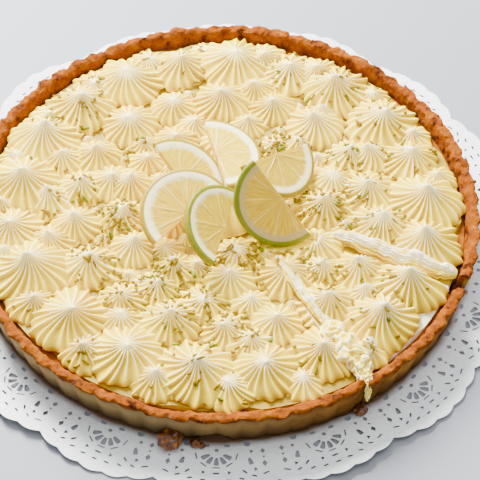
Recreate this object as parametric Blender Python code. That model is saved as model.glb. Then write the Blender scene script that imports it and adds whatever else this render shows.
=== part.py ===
"""Lemon pie with a piped cream top, in a fluted shortcrust shell, on a round paper doily.

Metres, +Z up, front towards -Y. The origin is the middle of the doily's underside.
"""

import math
import random

import bmesh
import bpy
from mathutils import Matrix, Vector
from mathutils.bvhtree import BVHTree

MM = 0.001
GAP = 0.3 * MM
COLLECTION = "lemon_pie"

# Paper doily, 14 inches across with its scallops
DOILY_RADIUS = 178 * MM
DOILY_PAPER = 0.6 * MM
DOILY_SCALLOPS = 16
DOILY_SCALLOP_DEPTH = 5 * MM
DOILY_FLAT_RADIUS = 147 * MM
DOILY_LIFT = 4.4 * MM
DOILY_STEPS = 64

# Baked shell, from a 12 inch fluted tin with a loose base
RIM_RADIUS = 149.5 * MM
FOOT_RADIUS = 145 * MM
SHELL_HEIGHT = 26.5 * MM
SHELL_WALL = 6 * MM
SHELL_FLOOR = 5 * MM
SHELL_BASE = DOILY_PAPER + GAP
FLUTES = 68
STEPS_PER_FLUTE = 3
FLUTE_DEPTH = 0.75 * MM
RIM_WOBBLE = 0.7 * MM

# Lemon filling and the thin cream layer that the rosettes are piped on
FILLING_TOP = 19 * MM
FILLING_STEPS = 102
CREAM_BASE = FILLING_TOP + GAP
CREAM_LAYER = 2 * MM
CREAM_RADIUS = 125 * MM
CREAM_REACH = 141.5 * MM

# Where the slice is cut: its point, the angles of its two sides, and the widths of the cuts
CUT_POINT = Vector((7 * MM, -3 * MM))
CUT_NEAR_SIDE = -59.2
CUT_FAR_SIDE = -22
CRUST_FAR_GAP = (2.4, -1.6)
CUT_WIDTH = 1.0 * MM
CREAM_CUT_WIDTH = 0.4 * MM

# Rosettes: letter, base radius and number of ridges
ROSETTE_SIZES = {"L": 20 * MM, "M": 17 * MM, "S": 14 * MM, "T": 11 * MM}
ROSETTE_RIDGES = {"L": 8, "M": 7, "S": 6, "T": 5}
ROSETTE_WIDTH = 1.13
ROSETTE_RUNS = (
    # ring radius, first and last angle, sizes from one to the other
    (118 * MM, 3, 139, "LMLLMLMLL"),
    (124 * MM, 155, 205, "LLML"),
    (117 * MM, 225, 299, "LLLMM"),
    (122 * MM, 318, 347, "LLL"),
    (86 * MM, 9, 190, "MSMSMSMSSS"),
    (88 * MM, 211, 291, "MSMSS"),
    (92 * MM, 311, 351, "MML"),
    (98 * MM, 26, 79, "STS"),
    (102 * MM, 160, 196, "SSS"),
    (99 * MM, 237, 237, "S"),
    (100 * MM, 280, 280, "S"),
    (102 * MM, 323, 323, "S"),
    (69 * MM, 18, 106, "STTT"),
    (69 * MM, 135, 164, "TS"),
    (71 * MM, 239, 284, "SST"),
    (73 * MM, 321, 349, "ST"),
    (59 * MM, 1, 1, "M"),
    (58 * MM, 58, 58, "T"),
    (59 * MM, 120, 212, "STSSS"),
    (53 * MM, 241, 275, "SS"),
    (61 * MM, 307, 333, "MS"),
    (32 * MM, 30, 200, "TTTT"),
    (46 * MM, 227, 254, "TT"),
    (36 * MM, 283, 330, "SS"),
)
# Height, radius and depth of the grooves at each level, as shares of the whole
LARGE_LEVELS = ((0.0, 0.92, 0.08), (0.2, 1.0, 0.17), (0.56, 0.52, 0.3), (1.0, 0.0, 0.0))
SMALL_LEVELS = ((0.0, 1.0, 0.12), (0.5, 0.6, 0.26), (1.0, 0.0, 0.0))
ROSETTE_SINK = 0.05 * MM
FILLERS = "TTTSSTSSTTTTSSSSTT..."
FILLER_RING = 131 * MM
FIRST_RINGS = 4

# Lemon half slices, as a pinwheel: centre, direction of the outer tip, tip lift, arc lift, radius
SLICE_THICKNESS = 4 * MM
SLICE_STEPS = 18
LEMON_HALVES = (
    ((-24.0, 6.0, 40.4), 130, 22, -9, 28.0),
    ((-4.8, 27.4, 41.7), 106, 0, -9, 27.5),
    ((31.0, 25.5, 43.5), 40, -17, -30, 27.0),
    ((34.4, -9.4, 44.1), -36, -41, -30, 28.0),
    ((2.0, -28.4, 40.5), 256, -7, 37, 25.7),
    ((-19.0, -16.6, 37.7), 226, -7, 20, 28.0),
)

# Cream dragged along the cuts: from and to, half its width, height of its top, and shift (mm)
FAR_SMEAR = ((58, 134), 6.2, 30.5, 6.4)
NEAR_SMEAR = ((40, 99), 4.0, 28.5, 4.2)
RIM_LUMPS = (
    # x, y, z, radius and how tall for its width, of each lump where the knife left the rim
    (63, -91, 25, 7.5, 0.9),
    (68, -98, 25.5, 8, 0.9),
    (73, -105, 26, 8, 0.9),
    (77, -112, 27, 5.6, 1),
    (81, -100, 25, 5, 1.5),
)

# What came off the shell at its foot, and where it is broken
FOOT_LUMPS = ((-21, -147.5, 4.5, 5.5), (-14, -147.0, 3.5, 4.0), (78, -125.5, 3.0, 3.6))
FOOT_NOTCH = ((-3, -147.5, 2.0), (8, 5, 3.5))

ZEST_COUNT = 30
ZEST_LENGTH = 3.6 * MM
ZEST_WIDTH = 1.0 * MM
ZEST_REACH = 92 * MM
ZEST_SEED = 11
ROSETTE_SEED = 5


def material(name, colour, roughness):
    """A Principled material, its colour given as linear red, green and blue."""
    made = bpy.data.materials.new(name)
    made.use_nodes = True
    shader = made.node_tree.nodes["Principled BSDF"]
    shader.inputs["Base Color"].default_value = (*colour, 1)
    shader.inputs["Roughness"].default_value = roughness
    made.diffuse_color = (*colour, 1)
    return made


def add_object(name, bm, collection, finish=None):
    """Turns a bmesh into a named object in a collection."""
    mesh = bpy.data.meshes.new(name)
    bm.to_mesh(mesh)
    bm.free()
    if finish:
        mesh.materials.append(finish)
    made = bpy.data.objects.new(name, mesh)
    collection.objects.link(made)
    return made


def add_cutter(name, bm, cutters):
    """An object that only cuts others, so it isn't rendered."""
    made = add_object(name, bm, cutters)
    made.hide_render = True
    made.display_type = "WIRE"
    return made


def apply_modifiers(thing):
    """Replaces an object's mesh by its evaluated mesh."""
    graph = bpy.context.evaluated_depsgraph_get()
    mesh = bpy.data.meshes.new_from_object(thing.evaluated_get(graph))
    thing.modifiers.clear()
    thing.data = mesh


def cut(thing, cutter, operation="DIFFERENCE", solver="EXACT"):
    """Applies one Boolean with another object."""
    step = thing.modifiers.new(operation.title(), "BOOLEAN")
    step.operation = operation
    step.solver = solver
    step.object = cutter
    apply_modifiers(thing)


def join_all(thing, pieces, solver="MANIFOLD"):
    """One Boolean union with every object of a collection, which are then removed."""
    step = thing.modifiers.new("Union", "BOOLEAN")
    step.operation = "UNION"
    step.operand_type = "COLLECTION"
    step.collection = pieces
    step.solver = solver
    apply_modifiers(thing)
    for piece in list(pieces.objects):
        bpy.data.objects.remove(piece)


def copy_object(thing, name):
    """A copy with its own mesh, in the same collections."""
    made = thing.copy()
    made.data = thing.data.copy()
    made.name = name
    made.data.name = name
    for collection in thing.users_collection:
        collection.objects.link(made)
    return made


def keep_largest(thing):
    """Drops the loose scraps that a cut leaves."""
    bm = bmesh.new()
    bm.from_mesh(thing.data)
    left = set(bm.faces)
    bodies = []
    while left:
        start = left.pop()
        body = [start]
        for face in body:
            for edge in face.edges:
                near = set(edge.link_faces) & left if edge.is_manifold else set()
                left -= near
                body.extend(near)
        bodies.append(body)
    largest = max(bodies, key=len)
    scraps = [face for body in bodies if body is not largest for face in body]
    bmesh.ops.delete(bm, geom=scraps, context="FACES")
    bm.to_mesh(thing.data)
    bm.free()


def angle_of(vert):
    """The angle of a vertex about the pie's axis, in radians."""
    return math.atan2(vert.co.y, vert.co.x)


def wedge(name, cutters, near, far, inset):
    """A prism over the slice. A positive inset moves its sides in, a negative one moves them out."""
    middle = math.radians((near + far) / 2)
    half = math.radians((far - near) / 2)
    point = CUT_POINT + Vector((math.cos(middle), math.sin(middle))) * inset / math.sin(half)
    bm = bmesh.new()
    corners = [bm.verts.new((point.x, point.y, -5 * MM))]
    for share in (-1, -0.4, 0.4, 1):
        turn = middle + half * share
        away = point + Vector((math.cos(turn), math.sin(turn))) * 240 * MM
        corners.append(bm.verts.new((away.x, away.y, -5 * MM)))
    face = bm.faces.new(corners)
    top = bmesh.ops.extrude_face_region(bm, geom=[face])["geom"]
    raised = [v for v in top if isinstance(v, bmesh.types.BMVert)]
    bmesh.ops.translate(bm, verts=raised, vec=(0, 0, 90 * MM))
    bmesh.ops.recalc_face_normals(bm, faces=bm.faces)
    return add_cutter(name, bm, cutters)


def split(whole, name, main_wedge, slice_wedge, solver="EXACT"):
    """Cuts one layer into the main pie's part and the slice's part."""
    piece = copy_object(whole, name + "_slice")
    cut(piece, slice_wedge, "INTERSECT", solver)
    cut(whole, main_wedge, "DIFFERENCE", solver)
    whole.name = name + "_main"
    for part in (whole, piece):
        keep_largest(part)
    return whole, piece


def doily(collection, finish):
    """A thin paper round, flat under the shell, whose scalloped edge lifts a little in waves."""
    bm = bmesh.new()
    bmesh.ops.create_circle(bm, cap_ends=True, segments=DOILY_STEPS, radius=DOILY_FLAT_RADIUS)
    outward = (163 * MM, DOILY_RADIUS)
    for step, radius in enumerate(outward):
        rim = [e for e in bm.edges if e.is_boundary]
        made = bmesh.ops.extrude_edge_only(bm, edges=rim)["geom"]
        verts = [v for v in made if isinstance(v, bmesh.types.BMVert)]
        for vert in verts:
            turn = angle_of(vert)
            reach = radius
            if step:
                scallop = abs(math.cos(DOILY_SCALLOPS * turn / 2))
                reach -= DOILY_SCALLOP_DEPTH * (1 - scallop)
            wave = 0.5 + 0.5 * math.sin(8 * turn + 0.6) * math.cos(3 * turn)
            lift = DOILY_LIFT * wave * (step + 1) / len(outward)
            vert.co = (reach * math.cos(turn), reach * math.sin(turn), lift)
    bmesh.ops.triangulate(bm, faces=bm.faces)
    top = bmesh.ops.extrude_face_region(bm, geom=list(bm.faces))["geom"]
    raised = [v for v in top if isinstance(v, bmesh.types.BMVert)]
    bmesh.ops.translate(bm, verts=raised, vec=(0, 0, DOILY_PAPER))
    bmesh.ops.recalc_face_normals(bm, faces=bm.faces)
    return add_object("paper_doily", bm, collection, finish)


def rim_height(turn):
    """How far the shell's top is above or below its mean height at an angle."""
    waves = math.sin(5 * turn + 0.4) + 0.8 * math.sin(13 * turn + 2) + 0.6 * math.sin(29 * turn)
    return RIM_WOBBLE * waves


def flute(turn):
    """How far a flute stands out at an angle: round lobes with narrow grooves between."""
    phase = (turn * FLUTES / (2 * math.pi)) % 1
    return FLUTE_DEPTH * (2 * math.sin(math.pi * phase) - 1)


def shell_radius(height):
    """The mean outer radius of the shell at a height above its foot."""
    return FOOT_RADIUS + (RIM_RADIUS - FOOT_RADIUS) * height / SHELL_HEIGHT


def shell(collection, finish):
    """The fluted shell: a floor and a wall that leans out, from one turned profile."""
    profile = (
        (FOOT_RADIUS, 0),
        (RIM_RADIUS, SHELL_HEIGHT),
        (RIM_RADIUS - SHELL_WALL, SHELL_HEIGHT - 0.8 * MM),
        (FOOT_RADIUS - SHELL_WALL, SHELL_FLOOR),
    )
    bm = bmesh.new()
    verts = [bm.verts.new((radius, 0, height)) for radius, height in profile]
    edges = [bm.edges.new(pair) for pair in zip(verts, verts[1:])]
    steps = FLUTES * STEPS_PER_FLUTE
    bmesh.ops.spin(
        bm,
        geom=verts + edges,
        axis=(0, 0, 1),
        cent=(0, 0, 0),
        angle=2 * math.pi,
        steps=steps,
        use_merge=True,
    )
    bmesh.ops.holes_fill(bm, edges=[e for e in bm.edges if e.is_boundary], sides=0)
    for vert in bm.verts:
        turn = angle_of(vert)
        radius = math.hypot(vert.co.x, vert.co.y)
        height = vert.co.z
        outer = radius > shell_radius(height) - SHELL_WALL / 2
        if outer:
            radius += flute(turn)
        if height > SHELL_HEIGHT / 2:
            height += rim_height(turn)
        vert.co = (radius * math.cos(turn), radius * math.sin(turn), height + SHELL_BASE)
    bmesh.ops.recalc_face_normals(bm, faces=bm.faces)
    return add_object("crust", bm, collection, finish)


def lump(bm, centre, radius, rng, tall, low):
    """An uneven ball, cut flat at its foot."""
    made = bmesh.ops.create_icosphere(bm, subdivisions=1, radius=1)["verts"]
    for vert in made:
        size = radius * rng.uniform(0.85, 1.1)
        vert.co = Vector(centre) + Vector((vert.co.x * size, vert.co.y * size, vert.co.z * size * tall))
        vert.co.z = max(vert.co.z, low)


def roughen_foot(crust, cutters, pieces):
    """Fuses the lumps at the shell's foot and breaks out the notch there."""
    rng = random.Random(3)
    for index, (x, y, z, radius) in enumerate(FOOT_LUMPS):
        bm = bmesh.new()
        centre = (x * MM, y * MM, z * MM + SHELL_BASE)
        lump(bm, centre, radius * MM, rng, 0.75, SHELL_BASE)
        add_object(f"foot_lump_{index}", bm, pieces)
    join_all(crust, pieces, "EXACT")
    place, size = FOOT_NOTCH
    bm = bmesh.new()
    matrix = Matrix.Translation(Vector(place) * MM) @ Matrix.Diagonal((*(Vector(size) * MM), 1))
    bmesh.ops.create_icosphere(bm, subdivisions=1, radius=1, matrix=matrix)
    cut(crust, add_cutter("notch", bm, cutters))


def filling(collection, finish):
    """The lemon layer that fills the shell up to a few millimetres under its rim."""
    low = SHELL_BASE + SHELL_FLOOR + GAP
    bm = bmesh.new()
    bmesh.ops.create_cone(
        bm,
        cap_ends=True,
        segments=FILLING_STEPS,
        radius1=FOOT_RADIUS - SHELL_WALL - 2 * GAP,
        radius2=shell_radius(FILLING_TOP - SHELL_BASE) - SHELL_WALL - 2 * GAP,
        depth=FILLING_TOP - low,
        matrix=Matrix.Translation((0, 0, (low + FILLING_TOP) / 2)),
    )
    return add_object("lemon_filling", bm, collection, finish)


def spread(first, last, sizes):
    """Angles from first to last, with steps in proportion to the neighbours' sizes."""
    steps = [ROSETTE_SIZES[a] + ROSETTE_SIZES[b] for a, b in zip(sizes, sizes[1:])]
    angles = [first]
    for step in steps:
        angles.append(angles[-1] + (last - first) * step / sum(steps))
    return angles


def rosette_places():
    """The place and size letter of every rosette: the rings, then the fillers between the outer ones."""
    places = []
    outer = []
    for index, (radius, first, last, sizes) in enumerate(ROSETTE_RUNS):
        for angle, size in zip(spread(first, last, sizes), sizes):
            places.append((radius, angle, size))
            if index < FIRST_RINGS:
                outer.append(angle)
    for angle, after, size in zip(outer, outer[1:] + [outer[0] + 360], FILLERS):
        if size != ".":
            places.append((FILLER_RING, (angle + after) / 2, size))
    return places


def rosette(name, place, size, rng, pieces):
    """One piped star: a flared foot, a concave cone with ridges, and a pulled tip."""
    ring, angle = place
    ridges = ROSETTE_RIDGES[size]
    radius = ROSETTE_SIZES[size] * ROSETTE_WIDTH * rng.uniform(0.95, 1.05)
    height = ROSETTE_SIZES[size] * rng.uniform(0.92, 1.06)
    twist = rng.uniform(0.05, 0.3)
    lean = Vector((rng.uniform(-0.08, 0.08), rng.uniform(-0.08, 0.08))) * radius
    first = rng.uniform(0, math.pi)
    ring = min(ring, CREAM_REACH - radius)
    centre = Vector((math.cos(math.radians(angle)), math.sin(math.radians(angle)))) * ring
    bm = bmesh.new()
    bmesh.ops.create_cone(
        bm,
        cap_ends=True,
        segments=2 * ridges,
        radius1=1,
        radius2=0,
        depth=1,
        matrix=Matrix.Translation((0, 0, 0.5)),
    )
    levels = LARGE_LEVELS if size in "LM" else SMALL_LEVELS
    for up, _, _ in levels[1:-1]:
        geom = list(bm.verts) + list(bm.edges) + list(bm.faces)
        bmesh.ops.bisect_plane(bm, geom=geom, plane_co=(0, 0, up), plane_no=(0, 0, 1))
    for vert in bm.verts:
        up, out, groove = min(levels, key=lambda level: abs(level[0] - vert.co.z))
        index = round(math.atan2(vert.co.x, vert.co.y) * ridges / math.pi)
        reach = radius * out * (1 - groove * (index % 2))
        turn = first - index * math.pi / ridges + twist * up
        x = centre.x + reach * math.cos(turn) + lean.x * up
        y = centre.y + reach * math.sin(turn) + lean.y * up
        vert.co = (x, y, CREAM_BASE + ROSETTE_SINK + up * height)
    add_object(name, bm, pieces)


def smear(name, side, reach, width, top, offset, pieces):
    """Cream dragged along a cut: a long low lump, from one distance to another along a side."""
    turn = math.radians(side)
    along = Vector((math.cos(turn), math.sin(turn)))
    across = Vector((-along.y, along.x))
    start, end = (distance * MM for distance in reach)
    middle = CUT_POINT + along * (start + end) / 2 + across * offset * MM
    low = CREAM_BASE + ROSETTE_SINK
    half_height = (top * MM - low) / 2
    size = Matrix.Diagonal(((end - start) / 2, width * MM, half_height, 1))
    spin = Matrix.Rotation(turn, 4, "Z")
    place = Matrix.Translation((middle.x, middle.y, low + half_height))
    bm = bmesh.new()
    bmesh.ops.create_icosphere(bm, subdivisions=2, radius=1, matrix=place @ spin @ size)
    add_object(name, bm, pieces)


def lemon_half(place, grow=0):
    """A half slice: its cut edge along its own X, its rind towards -Y, then turned and tilted."""
    centre, direction, tip_lift, arc_lift, radius = place
    bm = bmesh.new()
    bmesh.ops.create_circle(bm, cap_ends=True, segments=2 * SLICE_STEPS, radius=radius * MM + grow)
    geom = list(bm.verts) + list(bm.edges) + list(bm.faces)
    bmesh.ops.bisect_plane(
        bm, geom=geom, plane_co=(0, grow, 0), plane_no=(0, 1, 0), clear_outer=True
    )
    bmesh.ops.translate(bm, verts=bm.verts, vec=(0, 0, grow))
    under = bmesh.ops.extrude_face_region(bm, geom=list(bm.faces))["geom"]
    lowered = [v for v in under if isinstance(v, bmesh.types.BMVert)]
    bmesh.ops.translate(bm, verts=lowered, vec=(0, 0, -SLICE_THICKNESS - 2 * grow))
    turn = Matrix.Rotation(math.radians(direction), 4, "Z")
    tip = Matrix.Rotation(-math.radians(tip_lift), 4, "Y")
    arc = Matrix.Rotation(-math.radians(arc_lift), 4, "X")
    bmesh.ops.transform(
        bm, verts=bm.verts, matrix=Matrix.Translation(Vector(centre) * MM) @ turn @ tip @ arc
    )
    bmesh.ops.recalc_face_normals(bm, faces=bm.faces)
    return bm


def tree_of(thing):
    """A tree of an object's faces, to cast rays at."""
    bm = bmesh.new()
    bm.from_mesh(thing.data)
    tree = BVHTree.FromBMesh(bm)
    bm.free()
    return tree


def zest(cream, lemons, pieces):
    """The largest shreds of zest, each lying on the cream and sunk a little into it."""
    rng = random.Random(ZEST_SEED)
    below = Vector((0, 0, -1))
    cream_tree = tree_of(cream)
    lemon_trees = [tree_of(lemon) for lemon in lemons]
    count = 0
    while count < ZEST_COUNT:
        turn = rng.uniform(0, 2 * math.pi)
        reach = ZEST_REACH * math.sqrt(rng.uniform(0.06, 1))
        start = Vector((reach * math.cos(turn), reach * math.sin(turn), 90 * MM))
        heading = rng.uniform(0, math.pi)
        point, normal, _, _ = cream_tree.ray_cast(start, below)
        near_lemon = any(tree.find_nearest(point)[3] < ZEST_LENGTH for tree in lemon_trees)
        if near_lemon or normal.z < 0.5:
            continue
        bm = bmesh.new()
        bmesh.ops.create_cube(bm, size=1)
        size = Matrix.Diagonal((ZEST_LENGTH, ZEST_WIDTH, ZEST_WIDTH, 1))
        lie = normal.to_track_quat("Z", "Y").to_matrix().to_4x4()
        spin = Matrix.Rotation(heading, 4, "Z")
        place = Matrix.Translation(point + normal * ZEST_WIDTH * 0.15)
        bmesh.ops.transform(bm, verts=bm.verts, matrix=place @ lie @ spin @ size)
        add_object(f"zest_{count}", bm, pieces)
        count += 1
    join_all(cream, pieces)


def cream_topping(collection, cutters, pieces, finish, lemons):
    """The cream layer with its rosettes, smears and lumps, hollowed under the lemon halves."""
    bm = bmesh.new()
    bmesh.ops.create_cone(
        bm,
        cap_ends=True,
        segments=48,
        radius1=CREAM_RADIUS,
        radius2=CREAM_RADIUS - 1 * MM,
        depth=CREAM_LAYER,
        matrix=Matrix.Translation((0, 0, CREAM_BASE + CREAM_LAYER / 2)),
    )
    cream = add_object("cream_topping", bm, collection, finish)
    rng = random.Random(ROSETTE_SEED)
    for index, (ring, angle, size) in enumerate(rosette_places()):
        rosette(f"rosette_{index}", (ring, angle), size, rng, pieces)
    smear("far_smear", CUT_FAR_SIDE, *FAR_SMEAR, pieces)
    smear("near_smear", CUT_NEAR_SIDE, *NEAR_SMEAR, pieces)
    for index, (x, y, z, radius, tall) in enumerate(RIM_LUMPS):
        bm = bmesh.new()
        lump(bm, (x * MM, y * MM, z * MM), radius * MM, rng, tall, CREAM_BASE + ROSETTE_SINK)
        add_object(f"rim_lump_{index}", bm, pieces)
    join_all(cream, pieces)
    for index, place in enumerate(LEMON_HALVES):
        press = add_cutter(f"press_{index}", lemon_half(place, GAP), cutters)
        cut(cream, press, solver="MANIFOLD")
    keep_largest(cream)
    zest(cream, lemons, pieces)
    return cream


def main():
    for thing in list(bpy.data.objects):
        bpy.data.objects.remove(thing)
    scene = bpy.context.scene.collection
    parts, cutters, pieces = (
        bpy.data.collections.new(name) for name in (COLLECTION, "cutters", "pieces")
    )
    for collection in (parts, cutters, pieces):
        scene.children.link(collection)
    paper = material("paper", (0.86, 0.87, 0.86), 0.8)
    pastry = material("pastry", (0.55, 0.25, 0.07), 0.75)
    lemon_curd = material("lemon_curd", (0.78, 0.42, 0.05), 0.3)
    whipped_cream = material("whipped_cream", (0.92, 0.82, 0.52), 0.45)
    lemon = material("lemon", (0.85, 0.72, 0.2), 0.35)

    doily(parts, paper)
    crust = shell(parts, pastry)
    roughen_foot(crust, cutters, pieces)
    layer = filling(parts, lemon_curd)
    lemons = [
        add_object(f"lemon_half_{index + 1}", lemon_half(place), parts, lemon)
        for index, place in enumerate(LEMON_HALVES)
    ]
    cream = cream_topping(parts, cutters, pieces, whipped_cream, lemons)

    main_gap, slice_gap = CRUST_FAR_GAP
    half_cut = CUT_WIDTH / 2
    around = wedge("around_slice", cutters, CUT_NEAR_SIDE, CUT_FAR_SIDE + main_gap, -half_cut)
    within = wedge("within_slice", cutters, CUT_NEAR_SIDE, CUT_FAR_SIDE + slice_gap, half_cut)
    split(crust, "crust", around, within)
    split(layer, "lemon_filling", around, within)
    half_cut = CREAM_CUT_WIDTH / 2
    around = wedge("around_cream", cutters, CUT_NEAR_SIDE, CUT_FAR_SIDE, -half_cut)
    within = wedge("within_cream", cutters, CUT_NEAR_SIDE, CUT_FAR_SIDE, half_cut)
    split(cream, "cream_topping", around, within, "MANIFOLD")


main()
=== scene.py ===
"""Lemon pie with piped cream rosettes and lemon half slices, on a pierced paper doily.

Metres, +Z up, front towards -Y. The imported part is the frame, and each piece here stands for its nodes.
"""

import math
import random

import bmesh
import bpy
from mathutils import Matrix, Vector, noise
from mathutils.bvhtree import BVHTree


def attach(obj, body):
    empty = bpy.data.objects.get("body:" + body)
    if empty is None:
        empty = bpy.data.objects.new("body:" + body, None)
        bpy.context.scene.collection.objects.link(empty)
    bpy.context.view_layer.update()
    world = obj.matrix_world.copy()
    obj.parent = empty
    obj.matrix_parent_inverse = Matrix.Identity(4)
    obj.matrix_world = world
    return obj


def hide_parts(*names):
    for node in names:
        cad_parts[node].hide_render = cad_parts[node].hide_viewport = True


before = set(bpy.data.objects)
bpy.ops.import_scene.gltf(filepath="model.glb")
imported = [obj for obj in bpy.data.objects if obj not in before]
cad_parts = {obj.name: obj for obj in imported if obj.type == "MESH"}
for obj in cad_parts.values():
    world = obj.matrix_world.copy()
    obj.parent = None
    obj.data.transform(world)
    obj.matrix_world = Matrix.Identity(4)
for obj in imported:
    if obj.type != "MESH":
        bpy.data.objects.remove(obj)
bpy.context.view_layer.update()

MM = 0.001
GAP = 0.3 * MM

# Paper doily
DOILY_RADIUS = 178 * MM
DOILY_PAPER = 0.3 * MM
DOILY_BASE = 0.2 * MM
DOILY_SCALLOPS = 16
DOILY_SCALLOP_DEPTH = 5 * MM
DOILY_FLAT_RADIUS = 147 * MM
DOILY_LIFT = 4.4 * MM
DOILY_INNER = 138 * MM
# Where the fans of its lace start (mm)
FAN_RING = 152

# Baked shell
RIM_RADIUS = 149.5 * MM
FOOT_RADIUS = 145 * MM
SHELL_HEIGHT = 26.5 * MM
SHELL_WALL = 6 * MM
SHELL_FLOOR = 5 * MM
SHELL_BASE = 0.9 * MM
FLUTES = 68
STEPS_PER_FLUTE = 14
FLUTE_DEPTH = 1.1 * MM
RIM_WOBBLE = 0.7 * MM
CRUMB_SEED = 7

# Lemon filling and the cream layer
FILLING_TOP = 19 * MM
CREAM_BASE = FILLING_TOP + GAP
CREAM_LAYER = 2 * MM
CREAM_RADIUS = 125 * MM
CREAM_REACH = 141.5 * MM
LAYER_GROWTH = 1.13
LAYER_REACH = 139.8 * MM

# The cut slice: its point, where it lies from there, and the angles of its two sides
CUT_POINT = Vector((7 * MM, -3 * MM))
SLICE_DIRECTION = Vector((0.75, -0.65))
CUT_NEAR_SIDE = -59.2
CUT_FAR_SIDE = -22
CRUST_FAR_GAP = (2.4, -1.6)
CUT_WIDTH = 1.0 * MM
CREAM_CUT_WIDTH = 0.4 * MM

# Rosettes: base radius and number of ridges of each size
ROSETTE_SIZES = {"L": 20 * MM, "M": 17 * MM, "S": 14 * MM, "T": 11 * MM}
ROSETTE_WIDTH = 1.13
OUTER_FROM = 110 * MM
MIDDLE_FROM = 80 * MM
OUTER_WIDTH = 1.04
ROSETTE_RIDGES = {"L": 21, "M": 19, "S": 17, "T": 15}
ROSETTE_RUNS = (
    # ring radius, first and last angle, sizes from one to the other
    (118 * MM, 3, 139, "LMLLMLMLL"),
    (124 * MM, 155, 205, "LLML"),
    (117 * MM, 225, 299, "LLLMM"),
    (122 * MM, 318, 347, "LLL"),
    (86 * MM, 9, 190, "MSMSMSMSSS"),
    (88 * MM, 211, 291, "MSMSS"),
    (92 * MM, 311, 351, "MML"),
    (98 * MM, 26, 79, "STS"),
    (102 * MM, 160, 196, "SSS"),
    (99 * MM, 237, 237, "S"),
    (100 * MM, 280, 280, "S"),
    (102 * MM, 323, 323, "S"),
    (69 * MM, 18, 106, "STTT"),
    (69 * MM, 135, 164, "TS"),
    (71 * MM, 239, 284, "SST"),
    (73 * MM, 321, 349, "ST"),
    (59 * MM, 1, 1, "M"),
    (58 * MM, 58, 58, "T"),
    (59 * MM, 120, 212, "STSSS"),
    (53 * MM, 241, 275, "SS"),
    (61 * MM, 307, 333, "MS"),
    (32 * MM, 30, 200, "TTTT"),
    (46 * MM, 227, 254, "TT"),
    (36 * MM, 283, 330, "SS"),
)
FILLERS = "TTTSSTSSTTTTSSSSTT..."
FILLER_RING = 131 * MM
FIRST_RINGS = 4
ROSETTE_SEED = 5
# Dabs of cream in the bare spots: tries, the least free radius, overlap, ridges
DAB_TRIES = 4000
DAB_LEAST = 0.5 * MM
DAB_OVERLAP = 5 * MM
DAB_EDGE = 5.5 * MM
DAB_RIDGES = 12
DAB_SEED = 500
GOLDEN_ANGLE = math.radians(137.508)
ROSETTE_SINK = 0.05 * MM
# Height, radius and depth of the grooves at each level of a rosette, as shares of the whole
PIPED_LEVELS = (
    (0.00, 0.80, 0.01), (0.05, 0.90, 0.02), (0.11, 0.965, 0.035), (0.18, 1.00, 0.06), (0.25, 0.975, 0.10),
    (0.31, 0.91, 0.14), (0.37, 0.82, 0.18), (0.43, 0.71, 0.21), (0.49, 0.595, 0.24), (0.56, 0.475, 0.26),
    (0.63, 0.365, 0.28), (0.70, 0.275, 0.28), (0.78, 0.19, 0.27), (0.86, 0.122, 0.25), (0.93, 0.07, 0.2),
    (0.97, 0.04, 0.12), (1.00, 0.0, 0.0),
)
# How far a ridge sways, as a share of the space between two
RIDGE_SWAY = 0.16
# Where the points of one ridge and its groove lie, and how far down the groove each one is
RIDGE_STEPS = (
    (0.0, 0.0), (0.09, 0.14), (0.21, 0.56), (0.38, 0.95), (0.62, 0.95), (0.79, 0.56), (0.91, 0.14),
)

# Lemon half slices: centre (mm), direction of the outer tip, tip lift, arc lift, radius (mm)
SLICE_THICKNESS = 4 * MM
LEMON_HALVES = (
    ((-24.0, 6.0, 40.4), 130, 22, -9, 28.0),
    ((-4.8, 27.4, 41.7), 106, 0, -9, 27.5),
    ((31.0, 25.5, 43.5), 40, -17, -30, 27.0),
    ((34.4, -9.4, 44.1), -36, -41, -30, 28.0),
    ((2.0, -28.4, 40.5), 256, -7, 37, 25.7),
    ((-19.0, -16.6, 37.7), 226, -7, 20, 28.0),
)
# How green the rind and how ripe the flesh of each half is, and where its segments start. The greenest
# halves also get painted shade on their pith
LEMON_TINTS = (
    (0.15, 0.25, 0.1),
    (0.1, 0.1, 0.5),
    (0.3, 0.2, 0.3),
    (0.95, 0.75, 0.7),
    (0.75, 0.55, 0.2),
    (0.05, 0.9, 0.6),
)
LEMON_SEGMENTS = 5
STEPS_PER_SEGMENT = 16
# Share of the radius, and how far the cut face lies under the slice's top (mm)
LEMON_FACE = (
    (0.03, 0.1), (0.06, 0.25), (0.12, 0.32), (0.2, 0.34), (0.3, 0.35), (0.4, 0.34), (0.5, 0.32), (0.6, 0.3),
    (0.7, 0.3), (0.75, 0.32), (0.785, 0.3), (0.815, 0.12), (0.87, 0.05), (0.95, 0.08), (0.985, 0.3),
    (1.0, 0.8),
)

# Cream dragged along the cuts: from and to, half its width, height of its top, and shift (mm)
FAR_SMEAR = ((58, 134), 5.9, 30.5, 6.0)
NEAR_SMEAR = ((40, 99), 4.0, 28.5, 4.2)
SMEAR_CREST = math.radians(75)
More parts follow.
